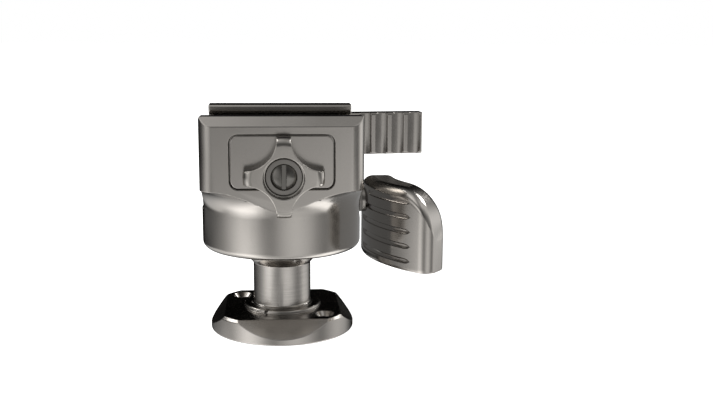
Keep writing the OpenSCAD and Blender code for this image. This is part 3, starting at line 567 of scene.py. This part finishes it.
# Rear jaw: milled alloy, blasted as the housing. A hardened steel plate for the cam is let into
# its back and held by two blackened countersunk screws.
jaw_alloy = blasted_alloy("blasted_alloy_jaw", centre=(0, 25, 70))
jaw = machined_copy("rear_jaw", "sliding_jaw", edge=0.25 * MM)
fit(jaw, "rear_jaw", "satin_alloy", jaw_alloy, "rear_jaw")
cam_plate = machined_copy("cam_plate", "cam_track", edge=0.12 * MM)
fit(cam_plate, "rear_jaw", "turned_steel", inner_steel, "cam_plate")
plate_screws = machined_copy("cam_plate_screws", "track_screws", edge=0.06 * MM)
fit(plate_screws, "rear_jaw", "dark_screw_steel", screw_steel, "cam_plate_screws")

# Quick-release lever: a cam and handle milled from one bar of the alloy and blasted, with four
# round scallops across the grip for the fingers.
lever_alloy = blasted_alloy("blasted_alloy_lever", centre=(25, 38, 70), gloss=0.19)
PIVOT = (0.5, 40.05)
HANDLE_ANGLE = math.radians(6.6)
HANDLE_FACE = -6.0
SCALLOP_W = 5.2
SCALLOP_PITCH = 6.88
SCALLOP_DEPTH = 0.85
SCALLOP_LAST = 54.44
SCALLOPS = 4
SCALLOP_SHARE = 0.6
SCALLOP_FOUND = (0.01, SCALLOP_DEPTH + 0.05)
scallop_r = (SCALLOP_W ** 2 / 4 + SCALLOP_DEPTH ** 2) / (2 * SCALLOP_DEPTH)
lever = machined_copy("quick_release_lever", "cam_handle", edge=0.3 * MM)
# the real scallops are shallower than the solid's
for v in lever.data.vertices:
    x, y = v.co.x / MM - PIVOT[0], v.co.y / MM - PIVOT[1]
    along = x * math.cos(HANDLE_ANGLE) + y * math.sin(HANDLE_ANGLE)
    sunk = -x * math.sin(HANDLE_ANGLE) + y * math.cos(HANDLE_ANGLE) - HANDLE_FACE
    aside = min(abs(along - SCALLOP_LAST + i * SCALLOP_PITCH) for i in range(SCALLOPS))
    if aside < SCALLOP_W / 2 and SCALLOP_FOUND[0] < sunk < SCALLOP_FOUND[1]:
        deep = math.sqrt(scallop_r ** 2 - aside ** 2) - scallop_r + SCALLOP_DEPTH
        back = deep * (1 - SCALLOP_SHARE) * MM
        v.co.x += back * math.sin(HANDLE_ANGLE)
        v.co.y -= back * math.cos(HANDLE_ANGLE)
fit(lever, "quick_release_lever", "satin_alloy", lever_alloy, "quick_release_lever")

# Ball lock: a steel spindle screwed in through the bush, and on its end a die-cast paddle, curved
# in plan, with five finger grooves across its face. A socket screw holds the paddle on.
spindle = machined_copy("lock_spindle", "lock_rod", edge=0.12 * MM)
fit(spindle, "lock_lever", "turned_steel", inner_steel, "lock_spindle")
lever_screw = machined_copy("lever_screw", "paddle_screw", edge=0.1 * MM)
fit(lever_screw, "lock_lever", "dark_screw_steel", screw_steel, "lever_screw")
paddle_alloy = blasted_alloy("blasted_alloy_paddle", centre=(45, -10, 43), gloss=0.2)
# it bends round an upright axis to the right of the head: angles are degrees round that axis
PADDLE_X = 31.5
PADDLE_Z = (28.0, 57.6)
PADDLE_AXIS = (82.9, 4.0)
PADDLE_FACE_R = 52.2
PADDLE_BACK_R = 39.2
PADDLE_ANGLES = (-8.3, 51.5)
PADDLE_ROUND = 4.0
PADDLE_RUN = math.radians(-32.3)
PADDLE_REACH = 26.6
PADDLE_FRONT_R = 14.0
PADDLE_END = 36.2
PADDLE_END_R = 15.6
PADDLE_BOSS_R = 9.0
PADDLE_FOOT = 0.5
PADDLE_LEAST_H = 1
PADDLE_SHARP_ANGLE = math.radians(42)
GROOVES = 5
GROOVE_Z0 = 31.6
GROOVE_PITCH = 5.3
GROOVE_HALF = 1.0
GROOVE_DEPTH = 0.75
GROOVE_ANGLES = (4.5, 42.2)
TOP_GROOVE_START = 13.0
GROOVE_MARGIN = 2.2
GROOVE_RUN_OUT = 2.2
GROOVE_ROWS = (-1.25, -1, -0.92, -0.75, -0.5, -0.2, 0.2, 0.5, 0.75, 0.92, 1, 1.25)
GROOVE_BOW = 0.4
GROOVE_NARROWEST = 0.15
FACE_ROW_GAP = 0.02
TOP_BLEND = 0.35
TOP_STEPS = 32
BEND_STEPS = 14
RUN_STEPS = 110
FOOT_EDGE = ((0, 1), (0.3, 0.3), (1, 0))
# degrees for each mm along the middle of its thickness
per_mm = 180 / (math.pi * (PADDLE_FACE_R + PADDLE_BACK_R) / 2)


def paddle_point(angle, r, z):
    """The place at an angle in degrees and a radius in mm about the paddle's upright axis."""
    a = math.radians(180 + angle)
    return ((PADDLE_AXIS[0] + r * math.cos(a)) * MM, (PADDLE_AXIS[1] + r * math.sin(a)) * MM, z * MM)


def arc_drop(over, r):
    """How far a quarter round of radius r has dropped at a distance past its start.

    Past the round's end it keeps nearly its full radius, and never quite reaches it.
    """
    over = min(max(0.0, over), r * 0.999)
    return r - math.sqrt(r * r - over * over)


def paddle_top(angle, r):
    """Height of the paddle's top: the arcs to its front, its slanting end and its boss, blended."""
    x, y, _ = (c / MM for c in paddle_point(angle, r, 0))
    along = (x - PADDLE_X) * math.cos(PADDLE_RUN) + y * math.sin(PADDLE_RUN)
    drops = [
        arc_drop(x - PADDLE_X - PADDLE_REACH + PADDLE_FRONT_R, PADDLE_FRONT_R),
        arc_drop(along - PADDLE_END + PADDLE_END_R, PADDLE_END_R),
        arc_drop(y, PADDLE_BOSS_R)]
    most = max(drops)
    blended = sum(math.exp((d - most) / TOP_BLEND) for d in drops) / len(drops)
    return PADDLE_Z[1] - most - TOP_BLEND * math.log(blended)


def rounded(d, r):
    """How far an edge rounded with radius r is drawn in at a distance d from the end."""
    return 0.0 if d >= r else r - math.sqrt(max(0.0, r * r - (r - d) ** 2))


def groove_width(angle, start):
    """Share of a groove's full width: it ends as a round-nosed cutter leaves it."""
    into = min(angle - start, GROOVE_ANGLES[1] - angle) / per_mm
    if into <= 0:
        return 0.0
    return math.sqrt(max(0.0, 1 - max(0.0, 1 - into / GROOVE_RUN_OUT) ** 2))


def face_rows(angle):
    """The grooved face from its foot up, as heights and depths in mm."""
    rows = []
    for i in range(GROOVES):
        start = TOP_GROOVE_START if i == GROOVES - 1 else GROOVE_ANGLES[0]
        share = groove_width(angle, start)
        centre = GROOVE_Z0 + i * GROOVE_PITCH
        rows.append((centre - GROOVE_MARGIN, 0.0))
        for q in GROOVE_ROWS:
            deep = GROOVE_DEPTH * share * max(0.0, 1 - q * q) ** GROOVE_BOW
            rows.append((centre + GROOVE_HALF * q * max(share, GROOVE_NARROWEST), deep))
        rows.append((centre + GROOVE_MARGIN, 0.0))
    return rows


def paddle_section(angle, from_end):
    """The paddle's outline in the upright plane at an angle, from_end mm from the nearer end."""
    drawn = rounded(from_end, PADDLE_ROUND)
    back, face = PADDLE_BACK_R + drawn, PADDLE_FACE_R - drawn
    foot = [(back + PADDLE_FOOT * u, PADDLE_Z[0] + PADDLE_FOOT * w) for u, w in FOOT_EDGE]
    foot += [(face - PADDLE_FOOT * u, PADDLE_Z[0] + PADDLE_FOOT * w) for u, w in reversed(FOOT_EDGE)]
    loop = [paddle_point(angle, r, z) for r, z in foot]
    face_top = paddle_top(angle, face) - PADDLE_ROUND
    rows = face_rows(angle)
    for n, (z, deep) in enumerate(rows):
        room = face_top - FACE_ROW_GAP * (len(rows) - n)
        loop.append(paddle_point(angle, face - deep, min(z, room)))
    back_top = max(PADDLE_Z[0] + PADDLE_LEAST_H, paddle_top(angle, back) - PADDLE_ROUND)
    for k in range(TOP_STEPS + 1):
        r = face - (face - back) * (1 - math.cos(math.pi * k / TOP_STEPS)) / 2
        near = max(0.0, min(face - r, r - back, from_end))
        top = paddle_top(angle, r) - rounded(near, PADDLE_ROUND)
        loop.append(paddle_point(angle, r, max(back_top, top)))
    return loop


rear, tip = (a / per_mm for a in PADDLE_ANGLES)
bend = [PADDLE_ROUND * (1 - math.cos(math.pi / 2 * k / BEND_STEPS)) for k in range(BEND_STEPS + 1)]
span = tip - rear - 2 * PADDLE_ROUND
stations = [rear + d for d in bend]
stations += [rear + PADDLE_ROUND + span * k / RUN_STEPS for k in range(1, RUN_STEPS)]
stations += [tip - d for d in reversed(bend)]
grown = bmesh.new()
loops = []
for s in stations:
    outline = paddle_section(s * per_mm, min(s - rear, tip - s))
    loops.append([grown.verts.new(c) for c in outline])
for one, two in zip(loops, loops[1:]):
    n = len(one)
    for k in range(n):
        grown.faces.new((one[k], two[k], two[(k + 1) % n], one[(k + 1) % n]))
grown.faces.new(loops[0])
grown.faces.new(list(reversed(loops[-1])))
bmesh.ops.recalc_face_normals(grown, faces=grown.faces)
paddle = placed("finger_paddle", named_mesh("finger_paddle", grown))
paddle.data.shade_smooth()
SPINDLE_Z = 48.6
BORE_R = 4.03
HEAD_R = 4.5
PADDLE_DRUM_SIDE = 20
HEAD_SEAT_X = 40.5
BORE_OVERLAP = 0.5
PADDLE_FAR_SIDE = 70


def drill(r, x0, x1):
    """A cutter along the lock spindle's axis, from x0 to x1 in mm."""
    made = bmesh.new()
    middle = Matrix.Translation(((x0 + x1) / 2 * MM, 0, SPINDLE_Z * MM))
    bmesh.ops.create_cone(
        made, cap_ends=True, segments=64, radius1=r * MM, radius2=r * MM, depth=(x1 - x0) * MM,
        matrix=middle @ Matrix.Rotation(math.pi / 2, 4, "Y"))
    return placed("drill", named_mesh("drill", made))


cut_away(paddle, drill(BORE_R, PADDLE_DRUM_SIDE, HEAD_SEAT_X),
         drill(HEAD_R, HEAD_SEAT_X - BORE_OVERLAP, PADDLE_FAR_SIDE))
paddle.data.set_sharp_from_angle(angle=PADDLE_SHARP_ANGLE)
fit(paddle, "lock_lever", "satin_alloy", paddle_alloy, "lock_lever")

# Studio: the camera stands where the photograph was taken, 370 mm in front of the head and
# slightly over it, with a 50 mm lens. The floor is plain white paper under an even sky.
# its place is in mm and its turns are in radians
CAMERA_PLACE = (-3.751, -369.516, 115.943)
PITCH, PAN, ROLL = 0.1905, 0.0866, 0.0066
LENS = 50.25
SKY = 0.8
WHITE = "#ffffff"
PAPER = "#f4f4f2"
FLOOR_SIDE = 8
camera = placed("camera", bpy.data.cameras.new("camera"))
camera.data.lens = LENS
camera.data.sensor_width = 36
camera.data.clip_start = 0.01
camera.matrix_world = (
    Matrix.Translation(Vector(CAMERA_PLACE) * MM)
    @ Matrix.Rotation(-PAN, 4, "Z")
    @ Matrix.Rotation(math.pi / 2 - PITCH, 4, "X")
    @ Matrix.Rotation(ROLL, 4, "Z")
)
bpy.context.scene.camera = camera
bpy.context.scene.view_settings.view_transform = "Standard"


def shown_as_white(tree):
    """1 for the rays that see the background: the camera's, and those off metal or through glass."""
    ray = add(tree, "ShaderNodeLightPath")
    seen = add(tree, "ShaderNodeMath", {
        0: ray.outputs["Is Camera Ray"], 1: ray.outputs["Is Glossy Ray"]}, operation="MAXIMUM")
    seen = add(tree, "ShaderNodeMath", {
        0: seen.outputs[0], 1: ray.outputs["Is Transmission Ray"]}, operation="MAXIMUM")
    return seen.outputs[0]


sky = bpy.data.worlds.new("studio")
bpy.context.scene.world = sky
sky.use_nodes = True
sky.node_tree.nodes.clear()
plain = add(sky.node_tree, "ShaderNodeBackground", {"Color": linear(WHITE), "Strength": 1.0})
lit = add(sky.node_tree, "ShaderNodeBackground", {"Color": linear(WHITE), "Strength": SKY})
mixed = add(sky.node_tree, "ShaderNodeMixShader", {
    0: shown_as_white(sky.node_tree), 1: lit.outputs[0], 2: plain.outputs[0]})
add(sky.node_tree, "ShaderNodeOutputWorld", {"Surface": mixed.outputs[0]})


def flat_sheet(name, width, height):
    """A flat sheet about the origin that faces up, with its size in m."""
    w, h = width / 2, height / 2
    mesh = bpy.data.meshes.new(name)
    mesh.from_pydata([(-w, -h, 0), (w, -h, 0), (w, h, 0), (-w, h, 0)], [], [(0, 1, 2, 3)])
    return placed(name, mesh)


def stage_finish(piece, name):
    """The empty tree of a new material on a stage piece."""
    made = bpy.data.materials.new(name)
    made.use_nodes = True
    made.node_tree.nodes.clear()
    piece.data.materials.append(made)
    return made.node_tree


floor = flat_sheet("floor", FLOOR_SIDE, FLOOR_SIDE)
paper = stage_finish(floor, "white_paper")
glow = add(paper, "ShaderNodeEmission", {"Color": linear(WHITE), "Strength": SKY})
dull = add(paper, "ShaderNodeBsdfDiffuse", {"Color": linear(PAPER)})
lifted = add(paper, "ShaderNodeAddShader", {0: glow.outputs[0], 1: dull.outputs[0]})
mixed = add(paper, "ShaderNodeMixShader", {
    0: shown_as_white(paper), 1: dull.outputs[0], 2: lifted.outputs[0]})
add(paper, "ShaderNodeOutputMaterial", {"Surface": mixed.outputs[0]})
floor.visible_glossy = False

# Light tent: a shell of grey, white and black panels right round the set, which only the metal
# sees. Each ring gives an elevation and the panels round it, as azimuths from the front (to the
# right positive) and levels; they give the drum and the stem their bright and dark bands.
TENT_R = 1.6
TENT_CENTRE = (0, 0, 0.045)
BRIGHTEST = 4.0
RINGS = [
    (-84, [(-180, 0.7), (-60, 1.6), (0, 1.1), (90, 1.6), (180, 0.7)]),
    (-58, [(-180, 0.0), (-150, 0.6), (-105, 1.3), (-60, 2.8), (-30, 1.2), (0, 0.9), (45, 0.9),
           (75, 2.9), (110, 2.9), (140, 0.9), (180, 0.0)]),
    (-40, [(-180, 0.0), (-160, 0.1), (-125, 1.2), (-100, 1.7), (-70, 3.2), (-48, 3.0), (-28, 1.1),
           (-12, 0.8), (15, 1.25), (45, 1.1), (62, 1.2), (82, 3.2), (105, 3.0), (130, 0.7),
           (155, 0.0), (180, 0.0)]),
    (-24, [(-180, 0.0), (-162, 0.1), (-140, 0.9), (-105, 1.4), (-90, 0.9), (-60, 2.4), (-45, 2.0),
           (-28, 1.1), (-13, 0.55), (18, 1.25), (45, 0.9), (64, 0.4), (92, 1.0), (125, 0.6),
           (150, 0.0), (180, 0.0)]),
    (-16, [(-180, 0.0), (-142, 0.01), (-125, 0.08), (-110, 0.27), (-95, 0.5), (-81, 0.9),
           (-66, 1.6), (-52, 1.95), (-38, 1.4), (-26, 0.66), (-14, 0.52), (-1, 0.98), (11, 1.26),
           (24, 1.36), (37, 1.1), (50, 0.58), (64, 0.38), (79, 0.76), (97, 1.15), (117, 0.88),
           (131, 0.3), (146, 0.04), (160, 0.0), (180, 0.0)]),
    (-12, [(-180, 0.0), (-152, 0.0), (-142, 0.18), (-124, 0.26), (-111, 0.37), (-99, 0.56),
           (-88, 0.92), (-79, 1.3), (-66, 1.7), (-55, 1.7), (-45, 1.2), (-37, 0.8), (-28, 0.42),
           (-19, 0.4), (-11, 0.58), (-1, 1.0), (8, 1.2), (20, 1.48), (30, 1.48), (40, 1.25),
           (50, 0.9), (60, 0.56), (70, 0.38), (78, 0.4), (92, 1.1), (120, 1.05), (140, 0.25),
           (160, 0.0), (180, 0.0)]),
    (-7, [(-180, 0.0), (-105, 0.02), (-84, 0.07), (-66, 0.22), (-51, 0.62), (-38, 0.9), (-25, 0.88),
          (-13, 0.55), (-4, 0.62), (2, 0.78), (8, 1.1), (21, 0.9), (27, 0.2), (58, 0.18), (72, 0.75),
          (88, 1.7), (106, 1.6), (120, 0.8), (136, 0.1), (150, 0.0), (180, 0.0)]),
    (2, [(-180, 0.0), (-155, 0.0), (-100, 0.2), (-75, 0.8), (-50, 1.7), (-26, 0.8), (-6, 0.3),
         (45, 0.35), (75, 0.5), (100, 1.1), (118, 1.5), (140, 0.2), (158, 0.0), (180, 0.0)]),
    (16, [(-180, 0.0), (-145, 0.0), (-100, 0.5), (-75, 1.0), (-48, 1.9), (-28, 1.0), (-8, 0.12),
          (20, 0.15), (60, 0.4), (105, 1.4), (128, 0.4), (145, 0.0), (180, 0.0)]),
    (32, [(-180, 0.0), (-125, 0.0), (-60, 0.3), (-12, 0.16), (15, 0.2), (55, 0.6), (80, 1.3),
          (105, 0.7), (130, 0.0), (180, 0.0)]),
    (54, [(-180, 0.0), (-100, 0.5), (-65, 1.9), (-38, 1.7), (-14, 0.5), (12, 0.5), (35, 1.1),
          (60, 1.3), (90, 0.8), (135, 0.15), (180, 0.0)]),
    (84, [(-180, 0.35), (-50, 0.98), (-25, 0.92), (5, 0.6), (35, 0.47), (180, 0.35)]),
]
shell = bmesh.new()
bmesh.ops.create_uvsphere(shell, u_segments=48, v_segments=24, radius=TENT_R)
bmesh.ops.reverse_faces(shell, faces=shell.faces)
tent = placed("light_tent", named_mesh("light_tent", shell))
tent.location = TENT_CENTRE
tree = stage_finish(tent, "tent_panels")
place = add(tree, "ShaderNodeTexCoord")
way = add(tree, "ShaderNodeVectorMath", {0: place.outputs["Object"]}, operation="NORMALIZE")
split = add(tree, "ShaderNodeSeparateXYZ", {0: way.outputs[0]})
front = add(tree, "ShaderNodeMath", {0: split.outputs["Y"], 1: -1.0}, operation="MULTIPLY")
turn = add(tree, "ShaderNodeMath", {0: split.outputs["X"], 1: front.outputs[0]}, operation="ARCTAN2")
share = add(tree, "ShaderNodeMapRange", {
    "Value": turn.outputs[0], "From Min": -math.pi, "From Max": math.pi, "To Min": 0.0, "To Max": 1.0})
rise = add(tree, "ShaderNodeMath", {0: split.outputs["Z"]}, operation="ARCSINE")
level = None
for height, panels_round in RINGS:
    ramp = add(tree, "ShaderNodeValToRGB", {0: share.outputs[0]})
    stops = ramp.color_ramp.elements
    while len(stops) < len(panels_round):
        stops.new(0.5)
    for stop, (azimuth, light) in zip(stops, panels_round):
        stop.position = (azimuth + 180) / 360
        stop.color = (light / BRIGHTEST, light / BRIGHTEST, light / BRIGHTEST, 1)
    if level is None:
        level = ramp.outputs[0]
    else:
        climb = add(tree, "ShaderNodeMapRange", {
            "Value": rise.outputs[0], "From Min": math.radians(below),
            "From Max": math.radians(height), "To Min": 0.0, "To Max": 1.0},
            interpolation_type="SMOOTHSTEP")
        level = add(tree, "ShaderNodeMix", {
            0: climb.outputs[0], 6: level, 7: ramp.outputs[0]}, data_type="RGBA").outputs[2]
    below = height
shine = add(tree, "ShaderNodeEmission", {"Color": level, "Strength": BRIGHTEST})
add(tree, "ShaderNodeOutputMaterial", {"Surface": shine.outputs[0]})


def only_metal_sees(piece):
    """Keeps a stage piece out of the picture and off the floor."""
    piece.visible_camera = False
    piece.visible_diffuse = False
    piece.visible_shadow = False
    piece.visible_transmission = False


only_metal_sees(tent)

# Softboxes, small cards and lamp: a bright box high on each side draws the white lines on the
# flange's edge and the paddle's shoulder. Small grey cards ride on the housing, two between the
# drum and the paddle and one in the clamp, and even out what the metal sees there.
SOFTBOX_AWAY = 1100
SOFTBOX_WAY = (-0.629, 0.229, 0.743)
SOFTBOX_RIGHT_WAY = (0.644, 0.372, 0.669)
GAP_X = 30.0
GAP_Y = -5
GAP_Z = 42
GAP_W, GAP_H = 32, 26
GAP_CARDS_APART = 0.2
CLAMP_LIP_Y = -16.9
CLAMP_CARD_Z = 78
CLAMP_CARD_W, CLAMP_CARD_H = 58, 8
LAMP_PLACE = (-0.5, -0.6, 0.9)
LAMP_AIM = (0, 0, 0.04)


def facing(piece, place, target, front):
    """Stands a stage piece at a place, with its front towards a target, both in m."""
    piece.location = place
    way = Vector(target) - Vector(place)
    piece.rotation_euler = way.to_track_quat(front, "Y").to_euler()


def light_card(name, place, target, width, height, strength, body=None):
    """A flat card of even light at a place, facing a target, in mm; it may ride on a body."""
    card = flat_sheet(name, width * MM, height * MM)
    facing(card, Vector(place) * MM, Vector(target) * MM, "Z")
    cloth = stage_finish(card, name + "_cloth")
    bright = add(cloth, "ShaderNodeEmission", {"Color": linear(WHITE), "Strength": strength})
    add(cloth, "ShaderNodeOutputMaterial", {"Surface": bright.outputs[0]})
    if body:
        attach(card, body)
    only_metal_sees(card)


light_card("softbox", Vector(SOFTBOX_WAY) * SOFTBOX_AWAY, (0, 0, 0), 480, 600, strength=5.0)
light_card("softbox_right", Vector(SOFTBOX_RIGHT_WAY) * SOFTBOX_AWAY, (0, 0, 0), 400, 400,
           strength=12.0)
light_card("gap_card", (GAP_X + GAP_CARDS_APART, GAP_Y, GAP_Z), (2 * GAP_X, GAP_Y, GAP_Z),
           GAP_W, GAP_H, strength=0.17, body="housing")
light_card("gap_card_drum", (GAP_X, GAP_Y, GAP_Z), (0, GAP_Y, GAP_Z),
           GAP_W, GAP_H, strength=0.36, body="housing")
light_card("clamp_card", (0, CLAMP_LIP_Y, CLAMP_CARD_Z), (0, 40, CLAMP_CARD_Z),
           CLAMP_CARD_W, CLAMP_CARD_H, strength=0.155, body="housing")

lamp = bpy.data.lights.new("key", "AREA")
lamp.energy = 4
lamp.size = 0.6
lamp_piece = placed("key", lamp)
facing(lamp_piece, LAMP_PLACE, LAMP_AIM, "-Z")
lamp_piece.visible_glossy = False

bpy.context.view_layer.update()
